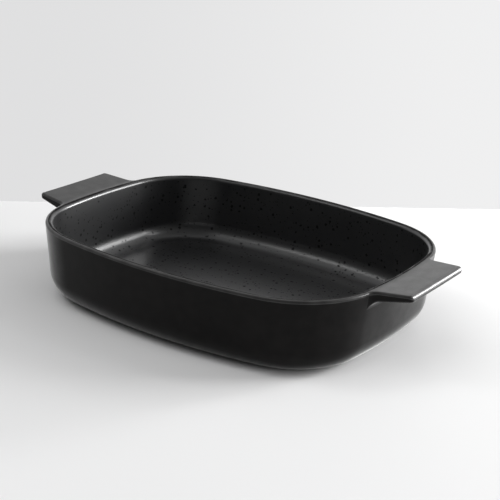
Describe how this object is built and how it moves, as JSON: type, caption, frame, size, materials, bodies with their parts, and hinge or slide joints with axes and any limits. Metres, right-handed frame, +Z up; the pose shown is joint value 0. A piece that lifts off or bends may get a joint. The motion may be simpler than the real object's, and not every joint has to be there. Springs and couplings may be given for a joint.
{
  "type": "lasagna dish",
  "caption": "Low rectangular stoneware baking dish with bowed sides and round corners, speckled glaze inside, matte outside, flat slab handles at the short ends.",
  "frame": {"origin": "on the surface that the dish stands on, under the middle of the dish", "axes": "+X towards the right handle, +Y towards the far long side, +Z up"},
  "size_m": [0.38, 0.252, 0.0691],
  "materials": {
    "matte_stoneware": "matte warm black",
    "speckled_glaze": "satin dark grey with black specks"
  },
  "bodies": {
    "root": {"dish_body": "matte_stoneware", "left_handle": "matte_stoneware", "right_handle": "matte_stoneware", "inner_glaze": "speckled_glaze"}
  },
  "joints": []
}
